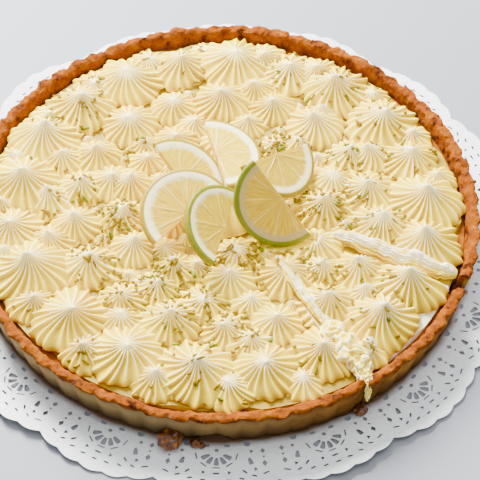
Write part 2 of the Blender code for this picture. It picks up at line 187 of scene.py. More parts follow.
# Bare strips beside them: from how far out, and their width on the slice's side and on the main pie's
BARE_STRIPS = {
    CUT_NEAR_SIDE: (NEAR_SMEAR[0][0] * MM, 4.5 * MM, 1.6 * MM),
    CUT_FAR_SIDE: (FAR_SMEAR[0][0] * MM, 5 * MM, 7 * MM),
}
RIM_LUMPS = (
    # centre, radius and how tall for its width
    (63, -91, 25, 7.5, 0.9),
    (68, -98, 25.5, 8, 0.9),
    (73, -105, 26, 8, 0.9),
    (77, -112, 27, 5.6, 1),
    (78.2, -118, 26.5, 4.6, 0.9),
    (79.4, -121.6, 27.4, 3.4, 0.7),
    (80.6, -125.2, 20.5, 1.7, 4.6),
    (81, -100, 25, 5, 1.5),
)
FOOT_LUMPS = (
    # centre and radius
    (-25, -147, 4.5, 6.6),
    (-11.5, -148, 2.2, 2.8),
    (-8, -149.3, 1.6, 1.8),
    (78, -125.5, 3.0, 3.6),
)
# A notch broken out of the shell's foot: centre, half its size and how deep (mm)
FOOT_NOTCH = ((-2, -145.5, 1.5), (9.5, 6, 5), 6.5)

# Grated zest: how many shreds, how far out they reach, how many are green, lengths and widths (mm)
ZEST_SEED = 23
ZEST_SHREDS = 900
ZEST_REACH = 138 * MM
ZEST_GREEN = 0.1
ZEST_LENGTHS = (1.5, 2.0, 2.6, 3.4, 5.0)
ZEST_WIDTHS = (1.1, 2.3)
# Beyond these distances, out and to the right, half and a third of the shreds are left out
ZEST_DENSE = 90 * MM
ZEST_RIGHT = 35 * MM
# The strip along each cut that stays free of zest: its half width and where it starts
ZEST_CLEAR = (11 * MM, 45 * MM)

# Camera, as the photograph was taken
VIEW_ELEVATION = 50.97
VIEW_DISTANCE = 0.9505
VIEW_ROLL = 1.07
VIEW_TARGET = Vector((0.01044, -0.0055, 0.0009))
VIEW_LENS = 120


def linear(colour):
    """A colour written as sRGB hex, as linear red, green, blue and alpha."""
    channels = [int(colour[i : i + 2], 16) / 255 for i in (1, 3, 5)]
    return (*[c / 12.92 if c <= 0.04045 else ((c + 0.055) / 1.055) ** 2.4 for c in channels], 1)


def add(tree, kind, inputs=None, out=0, **settings):
    """Adds a node with its settings, and gives back one of its outputs, or the node where out is None.

    Each input is a value, a colour as hex, or another node's output.
    """
    made = tree.nodes.new(kind)
    stops = settings.pop("stops", None)
    for name, value in settings.items():
        setattr(made, name, value)
    for name, value in (inputs or {}).items():
        if isinstance(value, bpy.types.NodeSocket):
            tree.links.new(value, made.inputs[name])
        elif isinstance(value, str):
            made.inputs[name].default_value = linear(value)
        else:
            made.inputs[name].default_value = value
    if stops:
        ramp = made.color_ramp
        while len(ramp.elements) < len(stops):
            ramp.elements.new(0.5)
        for element, (position, colour) in zip(ramp.elements, stops):
            element.position = position
            element.color = linear(colour)
    return made if out is None else made.outputs[out]


def new_material(name, **constants):
    """A material with its Principled shader, and the shader's constant values."""
    made = bpy.data.materials.new(name)
    made.use_nodes = True
    tree = made.node_tree
    shader = tree.nodes["Principled BSDF"]
    for socket, value in constants.items():
        shader.inputs[socket.replace("_", " ")].default_value = value
    return made, tree, shader


def surface(tree, shader, colour, height, strength, distance):
    """Gives the shader its colour and a relief. The relief's depth is in metres."""
    tree.links.new(colour, shader.inputs["Base Color"])
    bump = add(tree, "ShaderNodeBump", {"Height": height, "Strength": strength, "Distance": distance})
    tree.links.new(bump, shader.inputs["Normal"])


def whipped_cream():
    """Ivory cream with painted light: near white on the ridges and tops as painted highlight, butter yellow
    to olive in the grooves, folds and gaps as painted shade, and a little light goes in.
    """
    made, tree, shader = new_material(
        "whipped_cream", Roughness=0.5, Specular_IOR_Level=0.2,
        Subsurface_Weight=0.12, Subsurface_Scale=0.002, Subsurface_Radius=(1.0, 0.9, 0.4),
    )
    place = add(tree, "ShaderNodeTexCoord", out="Object")
    painted_light = add(tree, "ShaderNodeAttribute", out="Fac", attribute_name="painted_light")
    patches = add(tree, "ShaderNodeTexNoise", {"Vector": place, "Scale": 60, "Detail": 3})
    mixed = add(tree, "ShaderNodeMath", {0: patches, 1: 0.35, 2: painted_light}, operation="MULTIPLY_ADD")
    # From painted shade, olive and dark yellow, to painted highlight, near white
    stops = (
        (0.04, "#7A6400"), (0.2, "#AA8C00"), (0.36, "#D8B600"),
        (0.55, "#EECC00"), (0.78, "#FFE440"), (0.97, "#FFF9DA"),
    )
    colour = add(tree, "ShaderNodeValToRGB", {"Fac": mixed}, stops=stops)
    # Fine grain, drawn 1 mm across so that it shows
    grain = add(tree, "ShaderNodeTexNoise", {"Vector": place, "Scale": 900, "Detail": 4})
    surface(tree, shader, colour, grain, 0.12, 0.6 * MM)
    return made


def baked_crust():
    """Shortcrust, dull and crumbly: orange brown with scorched spots on the rim, and a brown wall that is
    partly painted shade, painted paler beige at the left as painted light, browner at the right, and darker
    at its foot as a painted contact shadow."""
    made, tree, shader = new_material("baked_crust", Roughness=0.8, Specular_IOR_Level=0.08)
    place = add(tree, "ShaderNodeTexCoord", out="Object")
    split = add(tree, "ShaderNodeSeparateXYZ", {0: place}, out=None)
    height = split.outputs["Z"]
    wander = add(tree, "ShaderNodeTexNoise", {"Vector": place, "Scale": 90, "Detail": 4})
    lifted = add(tree, "ShaderNodeMath", {0: wander, 1: 0.005, 2: height}, operation="MULTIPLY_ADD")
    top = add(tree, "ShaderNodeMapRange", {"Value": lifted, "From Min": 0.025, "From Max": 0.028})
    # The inner wall is as brown as the rim. The wall leans out by 0.17 of its height
    flat = add(tree, "ShaderNodeVectorMath", {0: place, 1: (1, 1, 0)}, operation="MULTIPLY")
    reach = add(tree, "ShaderNodeVectorMath", {0: flat}, out="Value", operation="LENGTH")
    upright = add(tree, "ShaderNodeMath", {0: height, 1: -0.17, 2: reach}, operation="MULTIPLY_ADD")
    within = add(tree, "ShaderNodeMapRange", {"Value": upright, "From Min": 0.1432, "From Max": 0.1422})
    rim = add(tree, "ShaderNodeMath", {0: top, 1: within}, operation="MAXIMUM")
    patches = add(tree, "ShaderNodeTexNoise", {"Vector": place, "Scale": 45, "Detail": 5, "Roughness": 0.6})
    # The wall's brown is partly the crust's own colour and partly painted shade, darker than the crust is
    stops = ((0.3, "#5A340A"), (0.5, "#8A5A1A"), (0.72, "#AC7A32"))
    wall = add(tree, "ShaderNodeValToRGB", {"Fac": patches}, stops=stops)
    # Painted light: the wall is painted paler beige towards the left, the side turned to the light
    side = {"Value": split.outputs["X"], "From Min": 0.07, "From Max": -0.03, "To Max": 0.7}
    left = add(tree, "ShaderNodeMapRange", side)
    wall = add(tree, "ShaderNodeMix", {0: left, 6: wall, 7: "#94825A"}, out=2, data_type="RGBA")
    # Painted shade: the wall darkens towards its foot, as a painted contact shadow
    low = add(tree, "ShaderNodeMapRange", {"Value": height, "From Min": 0.018, "From Max": 0.0})
    wall = add(tree, "ShaderNodeMix", {0: low, 6: wall, 7: "#2C1200"}, out=2, data_type="RGBA")
    # Scorched spots about 6 mm across, and crumbs of 2 mm
    scorch = add(tree, "ShaderNodeTexNoise", {"Vector": place, "Scale": 160, "Detail": 6, "Roughness": 0.65})
    stops = ((0.34, "#341200"), (0.44, "#723600"), (0.58, "#884600"), (0.72, "#9C5C04"))
    brown = add(tree, "ShaderNodeValToRGB", {"Fac": scorch}, stops=stops)
    colour = add(tree, "ShaderNodeMix", {0: rim, 6: wall, 7: brown}, out=2, data_type="RGBA")
    crumbs = add(tree, "ShaderNodeTexNoise", {"Vector": place, "Scale": 420, "Detail": 8, "Roughness": 0.75})
    surface(tree, shader, colour, crumbs, 0.8, 1.4 * MM)
    return made


def lemon_filling():
    """Set lemon filling: dull amber in uneven patches, darkened towards brown in part as painted shade of
    the gaps it shows in, with some light passing through.
    """
    made, tree, shader = new_material(
        "lemon_filling", Roughness=0.6, Specular_IOR_Level=0.05,
        Subsurface_Weight=0.2, Subsurface_Scale=0.004, Subsurface_Radius=(1.0, 0.6, 0.1),
    )
    place = add(tree, "ShaderNodeTexCoord", out="Object")
    patches = add(tree, "ShaderNodeTexNoise", {"Vector": place, "Scale": 70, "Detail": 4})
    # The amber is painted darker than the filling is, as painted shade of the gaps between cream and rim
    stops = ((0.3, "#5C2A00"), (0.55, "#8A4A00"), (0.75, "#A66600"))
    colour = add(tree, "ShaderNodeValToRGB", {"Fac": patches}, stops=stops)
    surface(tree, shader, colour, patches, 0.3, 1 * MM)
    return made


def doily_paper():
    """White paper: matt, finely fibrous and embossed with small dots, with a painted contact shadow in
    brown, a ragged ring beside the shell.
    """
    made, tree, shader = new_material("doily_paper", Roughness=0.7)
    place = add(tree, "ShaderNodeTexCoord", out="Object")
    # Fibres, drawn 2 mm across so that they show
    fibres = add(tree, "ShaderNodeTexNoise", {"Vector": place, "Scale": 500, "Detail": 5})
    colour = add(tree, "ShaderNodeValToRGB", {"Fac": fibres}, stops=((0.3, "#E2E3E2"), (0.7, "#EBECEA")))
    reach = add(tree, "ShaderNodeVectorMath", {0: place}, out="Value", operation="LENGTH")
    # Painted shadow: a ragged brown ring on the paper just outside the shell's foot, as the shell's contact
    # shadow
    uneven = add(tree, "ShaderNodeTexNoise", {"Vector": place, "Scale": 50, "Detail": 3})
    edge = add(tree, "ShaderNodeMath", {0: uneven, 1: 0.004, 2: reach}, operation="MULTIPLY_ADD")
    painted_shadow = add(tree, "ShaderNodeMapRange", {"Value": edge, "From Min": 0.1515, "From Max": 0.147})
    shadowed_paper = add(tree, "ShaderNodeMix", {0: painted_shadow, 6: colour, 7: "#6A4A2C"}, out=2, data_type="RGBA")
    # Embossed dots 4 mm apart
    dots = add(tree, "ShaderNodeTexVoronoi", {"Vector": place, "Scale": 230, "Randomness": 0.6})
    raised = add(tree, "ShaderNodeMapRange", {"Value": dots, "From Min": 0.2, "From Max": 0.4})
    surface(tree, shader, shadowed_paper, raised, 0.35, 0.4 * MM)
    return made


def cut_lemon():
    """A lemon half slice by its own map: flesh in segments with juice sacs, white pith and a thin rind."""
    made, tree, shader = new_material(
        "cut_lemon", Roughness=0.3, Specular_IOR_Level=0.25,
        Subsurface_Weight=0.25, Subsurface_Scale=0.003, Subsurface_Radius=(1.0, 0.8, 0.2),
    )
    local = add(tree, "ShaderNodeUVMap", uv_map="slice")
    centred = add(tree, "ShaderNodeVectorMath", {0: local, 1: (0.5, 0.5, 0)}, operation="SUBTRACT")
    length = add(tree, "ShaderNodeVectorMath", {0: centred}, out="Value", operation="LENGTH")
    split = add(tree, "ShaderNodeSeparateXYZ", {0: centred}, out=None)
    turn = add(tree, "ShaderNodeMath", {0: split.outputs["Y"], 1: split.outputs["X"]}, operation="ARCTAN2")
    # Juice sacs run from the middle to the pith, 20 to a radian
    polar = add(tree, "ShaderNodeCombineXYZ", {"X": turn, "Y": length})
    stretched = add(tree, "ShaderNodeVectorMath", {0: polar, 1: (20, 6, 1)}, operation="MULTIPLY")
    sacs = add(tree, "ShaderNodeTexNoise", {"Vector": stretched, "Scale": 1, "Detail": 4, "Roughness": 0.6})
    green = add(tree, "ShaderNodeAttribute", out="Fac", attribute_name="green")
    ripe = add(tree, "ShaderNodeAttribute", out="Fac", attribute_name="ripe")
    wall = add(tree, "ShaderNodeAttribute", out="Fac", attribute_name="membrane")
    stops = ((0.3, "#C49E00"), (0.5, "#DCB800"), (0.7, "#F6DC30"))
    pale = add(tree, "ShaderNodeValToRGB", {"Fac": sacs}, stops=stops)
    stops = ((0.3, "#B08800"), (0.5, "#D4AE00"), (0.7, "#F0D018"))
    deep = add(tree, "ShaderNodeValToRGB", {"Fac": sacs}, stops=stops)
    flesh = add(tree, "ShaderNodeMix", {0: ripe, 6: pale, 7: deep}, out=2, data_type="RGBA")
    faint = add(tree, "ShaderNodeMath", {0: wall, 1: 0.4}, operation="MULTIPLY")
    walled = add(tree, "ShaderNodeMix", {0: faint, 6: flesh, 7: "#FDEE9C"}, out=2, data_type="RGBA")
    uneven = add(tree, "ShaderNodeTexNoise", {"Vector": centred, "Scale": 7, "Detail": 3})
    wide = add(tree, "ShaderNodeMath", {0: uneven, 1: 0.09, 2: length}, operation="MULTIPLY_ADD")
    ragged = add(tree, "ShaderNodeMath", {0: sacs, 1: 0.02, 2: wide}, operation="MULTIPLY_ADD")
    in_pith = add(tree, "ShaderNodeMapRange", {"Value": ragged, "From Min": 0.42, "From Max": 0.465})
    fibrous = add(tree, "ShaderNodeMix", {0: uneven, 6: "#FFF8C8", 7: "#FFF0A8"}, out=2, data_type="RGBA")
    # Painted shade: the pith of the greenest halves, whose faces turn from the light, is painted greyish
    # beige
    shaded = add(tree, "ShaderNodeMapRange", {"Value": green, "From Min": 0.8, "From Max": 0.95})
    pith = add(tree, "ShaderNodeMix", {0: shaded, 6: fibrous, 7: "#BCA872"}, out=2, data_type="RGBA")
    pithed = add(tree, "ShaderNodeMix", {0: in_pith, 6: walled, 7: pith}, out=2, data_type="RGBA")
    skin = add(tree, "ShaderNodeMath", {0: green, 1: 0.014, 2: length}, operation="MULTIPLY_ADD")
    in_rind = add(tree, "ShaderNodeMapRange", {"Value": skin, "From Min": 0.454, "From Max": 0.468})
    mottled = add(tree, "ShaderNodeTexNoise", {"Vector": centred, "Scale": 16, "Detail": 4})
    unripe = add(tree, "ShaderNodeMath", {0: mottled, 1: 1.2, 2: green}, operation="MULTIPLY_ADD")
    turned = add(tree, "ShaderNodeMath", {0: unripe, 1: 0.6}, operation="SUBTRACT")
    rind = add(tree, "ShaderNodeMix", {0: turned, 6: "#A28600", 7: "#6C7A00"}, out=2, data_type="RGBA")
    colour = add(tree, "ShaderNodeMix", {0: in_rind, 6: pithed, 7: rind}, out=2, data_type="RGBA")
    surface(tree, shader, colour, sacs, 0.4, 0.6 * MM)
    return made


def zest_peel(name, dark, light):
    """Grated peel: waxy, and deeper in colour in patches 2.5 mm across."""
    made, tree, shader = new_material(name, Roughness=0.6, Specular_IOR_Level=0.1)
    place = add(tree, "ShaderNodeTexCoord", out="Object")
    patches = add(tree, "ShaderNodeTexNoise", {"Vector": place, "Scale": 400, "Detail": 3})
    colour = add(tree, "ShaderNodeValToRGB", {"Fac": patches}, stops=((0.35, dark), (0.65, light)))
    tree.links.new(colour, shader.inputs["Base Color"])
    return made


def burnt_sugar():
    """Filling that boiled over and caramelised at the foot: glossy brown, with blisters of 3 mm."""
    made, tree, shader = new_material("burnt_sugar", Roughness=0.3)
    place = add(tree, "ShaderNodeTexCoord", out="Object")
    patches = add(tree, "ShaderNodeTexNoise", {"Vector": place, "Scale": 350, "Detail": 4})
    stops = ((0.3, "#2A1200"), (0.5, "#643400"), (0.7, "#965806"))
    colour = add(tree, "ShaderNodeValToRGB", {"Fac": patches}, stops=stops)
    surface(tree, shader, colour, patches, 0.3, 0.6 * MM)
    return made


def table_top():
    """The plain pale floor."""
    made, tree, shader = new_material("table_top", Roughness=0.6)
    place = add(tree, "ShaderNodeTexCoord", out="Object")
    patches = add(tree, "ShaderNodeTexNoise", {"Vector": place, "Scale": 4, "Detail": 3})
    colour = add(tree, "ShaderNodeValToRGB", {"Fac": patches}, stops=((0.3, "#82848A"), (0.7, "#8A8C92")))
    tree.links.new(colour, shader.inputs["Base Color"])
    return made


def add_piece(name, bm, finish, nodes=(), sharp_angle=None):
    """Makes a piece from a bmesh, riding on the part. It stands for the named nodes."""
    mesh = bpy.data.meshes.new(name)
    bm.to_mesh(mesh)
    bm.free()
    mesh.shade_smooth()
    if sharp_angle:
        mesh.set_sharp_from_angle(angle=math.radians(sharp_angle))
    mesh.materials.append(finish)
    piece = bpy.data.objects.new(name, mesh)
    bpy.context.scene.collection.objects.link(piece)
    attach(piece, "root")
    if nodes:
        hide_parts(*nodes)
    return piece


def turn_round(bm, geom, angle, steps, **settings):
    """Spins geometry about the pie's upright axis."""
    bmesh.ops.spin(bm, geom=geom, axis=(0, 0, 1), cent=(0, 0, 0), angle=angle, steps=steps, **settings)


def angle_of(vert):
    """The angle of a vertex about the pie's axis, in radians."""
    return math.atan2(vert.co.y, vert.co.x)


def side_plane(side, shift=0):
    """A point and a normal of the upright plane along a side of the slice. The normal leaves the slice."""
    turn = math.radians(side)
    outward = 1 if side == CUT_NEAR_SIDE else -1
    normal = Vector((math.sin(turn), -math.cos(turn), 0)) * outward
    point = Vector((CUT_POINT.x, CUT_POINT.y, 0)) + normal * shift
    return point, normal


# The rosettes


def spread(first, last, sizes):
    """Angles from first to last, with steps in proportion to the neighbours' sizes."""
    steps = [ROSETTE_SIZES[a] + ROSETTE_SIZES[b] for a, b in zip(sizes, sizes[1:])]
    angles = [first]
    for step in steps:
        angles.append(angles[-1] + (last - first) * step / sum(steps))
    return angles


def rosette_places():
    """The place and size letter of every rosette: the rings, then the fillers between the outer ones."""
    places = []
    outer = []
    for index, (radius, first, last, sizes) in enumerate(ROSETTE_RUNS):
        for angle, size in zip(spread(first, last, sizes), sizes):
            places.append((radius, angle, size))
            if index < FIRST_RINGS:
                outer.append(angle)
    for angle, after, size in zip(outer, outer[1:] + [outer[0] + 360], FILLERS):
        if size != ".":
            places.append((FILLER_RING, (angle + after) / 2, size))
    return places


def lemon_matrix(place):
    """Where a lemon half lies: its cut edge along its own X, its rind towards -Y."""
    centre, direction, tip_lift, arc_lift, _ = place
    turn = Matrix.Rotation(math.radians(direction), 4, "Z")
    tip = Matrix.Rotation(-math.radians(tip_lift), 4, "Y")
    arc = Matrix.Rotation(-math.radians(arc_lift), 4, "X")
    return Matrix.Translation(Vector(centre) * MM) @ turn @ tip @ arc


LEMON_PRESSES = [(lemon_matrix(place).inverted(), place[4] * MM) for place in LEMON_HALVES]


def press_under_lemons(point):
    """Lowers a point of the cream that a lemon half rests on to just under the half."""
    for inverse, radius in LEMON_PRESSES:
        local = inverse @ point
        inside = local.x**2 + local.y**2 < (radius + 1.2 * MM) ** 2 and local.y < 9 * MM
        floor = -SLICE_THICKNESS - GAP + max(0, local.y)
        if inside and local.z > floor:
            point.z -= (local.z - floor) / inverse[2][2]


def piped_star(centre, radius, height, twist, lean, first, ridges, own):
    """A star of cream: a full skirt of fine ridges that run up a concave cone to a pulled tip."""
    reaches = [own.uniform(-0.13, 0.08) for _ in range(ridges)]
    shifts = [own.uniform(-0.24, 0.24) for _ in range(ridges)]
    depths = [own.uniform(0.6, 1.45) for _ in range(ridges)]
    bend = Vector((own.uniform(-0.14, 0.14), own.uniform(-0.14, 0.14))) * radius
    tip = own.choice((0.4, 0.8, 1, 1, 1.1))
    swirl = own.uniform(-0.45, 0.65)
    sways = [own.uniform(0, 2 * math.pi) for _ in range(ridges)]
    oval, phase = own.uniform(0, 0.09), own.uniform(0, math.pi)
    per_ridge = len(RIDGE_STEPS)
    bm = bmesh.new()
    painted_light = bm.verts.layers.float.new("painted_light")
    profile = [bm.verts.new((max(out, 0.0), 0, up)) for up, out, _ in PIPED_LEVELS]
    edges = [bm.edges.new(pair) for pair in zip(profile, profile[1:])]
    turn_round(bm, profile + edges, 2 * math.pi, ridges * per_ridge, use_merge=True)
    bmesh.ops.remove_doubles(bm, verts=bm.verts, dist=1e-5)
    bmesh.ops.holes_fill(bm, edges=[e for e in bm.edges if e.is_boundary], sides=0)
    levels = {round(up, 2): (out, groove) for up, out, groove in PIPED_LEVELS}
    for vert in bm.verts:
        up = round(vert.co.z, 2)
        out, groove = levels[up]
        count = round(angle_of(vert) * ridges * per_ridge / (2 * math.pi)) % (ridges * per_ridge)
        ridge, step = divmod(count, per_ridge)
        after = (ridge + 1) % ridges
        along, down = RIDGE_STEPS[step]
        spoke = ridge + along + shifts[ridge] * (1 - along) + shifts[after] * along
        sway = math.sin(6 * up + sways[ridge]) * (1 - along) + math.sin(6 * up + sways[after]) * along
        spoke += RIDGE_SWAY * sway * (1 - up)
        stretch = reaches[ridge] * (1 - along) + reaches[after] * along
        reach = radius * out * (1 - groove * down * depths[ridge]) * (1 + stretch * (1 - up))
        turn = first + spoke * 2 * math.pi / ridges + twist * up + swirl * (1 - up) ** 2
        reach *= 1 + oval * math.sin(2 * turn + phase)
        x = centre.x + reach * math.cos(turn) + lean.x * up * up + bend.x * up**4
        y = centre.y + reach * math.sin(turn) + lean.y * up * up + bend.y * up**4
        lift = up if up < 0.7 else 0.7 + (up - 0.7) * tip
        vert.co = (x, y, CREAM_BASE + ROSETTE_SINK + lift * height)
        press_under_lemons(vert.co)
        # Painted light: lighter on the ridges and towards the tip as painted highlight, darker down the
        # grooves and at the foot as painted shade
        vert[painted_light] = (1 - down) * 0.5 + 0.5 * max(0, up - 0.5) + 0.35 * up
    bmesh.ops.recalc_face_normals(bm, faces=bm.faces)
    return bm


def rosette(place, size, rng, index):
    """One rosette on its ring."""
    ring, angle = place
    radius = ROSETTE_SIZES[size] * ROSETTE_WIDTH * rng.uniform(0.95, 1.05)
    height = ROSETTE_SIZES[size] * rng.uniform(0.92, 1.06)
    twist = rng.uniform(0.05, 0.3)
    lean = Vector((rng.uniform(-0.08, 0.08), rng.uniform(-0.08, 0.08))) * radius
    first = rng.uniform(0, math.pi)
    ring = min(ring, CREAM_REACH - radius)
    if ring > OUTER_FROM:
        radius *= OUTER_WIDTH
    centre = Vector((math.cos(math.radians(angle)), math.sin(math.radians(angle)))) * ring
    own = random.Random(index)
    ridges = ROSETTE_RIDGES[size] + own.choice((-1, 0, 0, 1))
    return piped_star(centre, radius, height, twist, lean, first, ridges, own), centre, radius


def bare_spots(taken):
    """Places and sizes for small dabs where no rosette covers the layer, the widest spots first."""
    spots = []
    for count in range(DAB_TRIES):
        ring = (CREAM_REACH - DAB_EDGE) * math.sqrt((count + 0.5) / DAB_TRIES)
        turn = count * GOLDEN_ANGLE
        spot = Vector((ring * math.cos(turn), ring * math.sin(turn)))
        free = min((spot - centre).length - radius for centre, radius in taken)
        if free > DAB_LEAST:
            spots.append((free, spot))
    spots.sort(key=lambda found: -found[0])
    dabs = []
    for _, spot in spots:
        free = min((spot - centre).length - radius for centre, radius in taken + dabs)
        if free > DAB_LEAST:
            dabs.append((spot, min(free + DAB_OVERLAP, CREAM_REACH - spot.length)))
    return dabs


def keep_side(bm, point, normal):
    """Cuts away what lies on the normal's side of a plane, and closes the cut."""
    geom = list(bm.verts) + list(bm.edges) + list(bm.faces)
    bmesh.ops.bisect_plane(bm, geom=geom, plane_co=point, plane_no=normal, clear_outer=True, dist=1e-7)
    bmesh.ops.holes_fill(bm, edges=[e for e in bm.edges if e.is_boundary], sides=0)


def add_to(whole, bm):
    """Adds a bmesh to another by way of a mesh."""
    mesh = bpy.data.meshes.new("part")
    bm.to_mesh(mesh)
    bm.free()
    whole.from_mesh(mesh)
    bpy.data.meshes.remove(mesh)


def share_out(bm, centre, radius, groups, ring_group):
    """Puts a rosette in its group, or shares it between the two sides of each cut it lies across."""
    cuts = []
    inside = True
    for side in (CUT_NEAR_SIDE, CUT_FAR_SIDE):
        point, normal = side_plane(side)
        away = (Vector((centre.x, centre.y, 0)) - point).dot(normal)
        inside = inside and away < 0
        if abs(away) < radius:
            cuts.append(side)
    if (centre - CUT_POINT).dot(SLICE_DIRECTION) < radius * 0.6:
        add_to(groups[ring_group], bm)
        return
    reach = (centre - CUT_POINT).length
    for side in cuts:
        other = bm.copy()
        point, normal = side_plane(side)
        slice_gap = main_gap = CREAM_CUT_WIDTH / 2
        start, *bare = BARE_STRIPS[side]
        if reach > start:
            slice_gap, main_gap = bare
        if inside:
            keep_side(bm, point - normal * slice_gap, normal)
            keep_side(other, point + normal * main_gap, -normal)
            add_to(groups[ring_group], other)
        else:
            keep_side(bm, point + normal * main_gap, -normal)
            keep_side(other, point - normal * slice_gap, normal)
            add_to(groups["slice"], other)
    add_to(groups["slice" if inside else ring_group], bm)


def cream_rosettes(cream):
    """Every rosette and dab: pieces for the outer ring, the fillers at the rim, the middle, the inner ones,
    the dabs between them, and all those on the slice."""
    rng = random.Random(ROSETTE_SEED)
    groups = {name: bmesh.new() for name in ("outer", "rim", "middle", "inner", "dabs", "slice")}
    taken = []
    for whole in groups.values():
        whole.verts.layers.float.new("painted_light")
    for index, (ring, angle, size) in enumerate(rosette_places()):
        bm, centre, radius = rosette((ring, angle), size, rng, index)
        if ring == FILLER_RING:
            group = "rim"
        elif ring > OUTER_FROM:
            group = "outer"
        else:
            group = "middle" if ring > MIDDLE_FROM else "inner"
        share_out(bm, centre, radius, groups, group)
        taken.append((centre, radius))
    for index, (centre, radius) in enumerate(bare_spots(taken)):
        own = random.Random(DAB_SEED + index)
        lean = Vector((own.uniform(-0.1, 0.1), own.uniform(-0.1, 0.1))) * radius
        height = radius * own.uniform(0.75, 1.0)
        twist = own.uniform(0.1, 0.5)
        bm = piped_star(centre, radius, height, twist, lean, own.uniform(0, 3), DAB_RIDGES, own)
        share_out(bm, centre, radius, groups, "dabs")
    pieces = []
    for name, whole in groups.items():
        node = "cream_topping_slice" if name == "slice" else "cream_topping_main"
        pieces.append(add_piece("cream_rosettes_" + name, whole, cream, (node,)))
    return pieces


def face_outward(pieces):
    """Turns every star outwards, because recalc_face_normals leaves some of those that fold inside out."""
    for piece in pieces:
        bm = bmesh.new()
        bm.from_mesh(piece.data)
        bmesh.ops.recalc_face_normals(bm, faces=bm.faces)
        left = set(bm.faces)
        while left:
            star = [left.pop()]
            for face in star:
                beside = {other for edge in face.edges for other in edge.link_faces} & left
                left -= beside
                star.extend(beside)
            if sum(face.calc_center_median().dot(face.normal) * face.calc_area() for face in star) < 0:
                bmesh.ops.reverse_faces(bm, faces=star)
        bm.to_mesh(piece.data)
        bm.free()


def cream_layer(cream):
    """The thin spread layer under the rosettes, uneven at its edge, cut along the slice."""
    bm = bmesh.new()
    bmesh.ops.create_cone(
        bm, cap_ends=True, segments=180, radius1=CREAM_RADIUS, radius2=CREAM_RADIUS - 1 * MM,
        depth=CREAM_LAYER, matrix=Matrix.Translation((0, 0, CREAM_BASE + CREAM_LAYER / 2)),
    )
    for vert in bm.verts:
        turn = angle_of(vert)
        uneven = 1 + 0.02 * math.sin(9 * turn) + 0.015 * math.sin(23 * turn + 1)
        reach = min(LAYER_GROWTH * uneven * vert.co.xy.length, LAYER_REACH)
        vert.co = (reach * math.cos(turn), reach * math.sin(turn), vert.co.z)
    main, piece = split_by_cut(bm, CREAM_CUT_WIDTH, (0, 0))
    # Painted shade: the main layer between the rosettes gets the darkest end; the slice's is lighter, and
    # near white at its outer edge
    for whole, inner, outer in ((main, 0.0, 0.0), (piece, 0.2, 0.95)):
        painted_light = whole.verts.layers.float.new("painted_light")
        for vert in whole.verts:
            vert[painted_light] = outer if vert.co.length > CREAM_RADIUS else inner
    add_piece("cream_layer_main", main, cream, ("cream_topping_main",), 40)
    add_piece("cream_layer_slice", piece, cream, ("cream_topping_slice",), 40)


def wedge(near, far, inset):
    """A prism over the slice. A positive inset moves its sides in, a negative one moves them out."""
    middle = math.radians((near + far) / 2)
    half = math.radians((far - near) / 2)
    point = CUT_POINT + Vector((math.cos(middle), math.sin(middle))) * inset / math.sin(half)
    bm = bmesh.new()
    corners = [bm.verts.new((point.x, point.y, -5 * MM))]
    for share in (-1, -0.4, 0.4, 1):
        turn = middle + half * share
        away = point + Vector((math.cos(turn), math.sin(turn))) * 240 * MM
        corners.append(bm.verts.new((away.x, away.y, -5 * MM)))
    face = bm.faces.new(corners)
    top = bmesh.ops.extrude_face_region(bm, geom=[face])["geom"]
    raised = [v for v in top if isinstance(v, bmesh.types.BMVert)]
    bmesh.ops.translate(bm, verts=raised, vec=(0, 0, 90 * MM))
    bmesh.ops.recalc_face_normals(bm, faces=bm.faces)
    return bm


def boolean(bm, cutter, operation):
    """One Boolean of two bmeshes by way of two short-lived objects. The first is kept, the second freed."""
    things = []
    for source in (bm, cutter):
        mesh = bpy.data.meshes.new("working")
        source.to_mesh(mesh)
        things.append(bpy.data.objects.new("working", mesh))
        bpy.context.scene.collection.objects.link(things[-1])
    cutter.free()
    step = things[0].modifiers.new("Cut", "BOOLEAN")
    step.operation = operation
    step.solver = "MANIFOLD"
    step.object = things[1]
    graph = bpy.context.evaluated_depsgraph_get()
    result = bpy.data.meshes.new_from_object(things[0].evaluated_get(graph))
    made = bmesh.new()
    made.from_mesh(result)
    for thing in things:
        bpy.data.objects.remove(thing)
    return made


def split_by_cut(bm, width, far_gap):
    """Splits one layer into the main pie's part and the slice's part."""
    main_gap, slice_gap = far_gap
    around = wedge(CUT_NEAR_SIDE, CUT_FAR_SIDE + main_gap, -width / 2)
    within = wedge(CUT_NEAR_SIDE, CUT_FAR_SIDE + slice_gap, width / 2)
    piece = boolean(bm, within, "INTERSECT")
    main = boolean(bm, around, "DIFFERENCE")
    bm.free()
    return main, piece


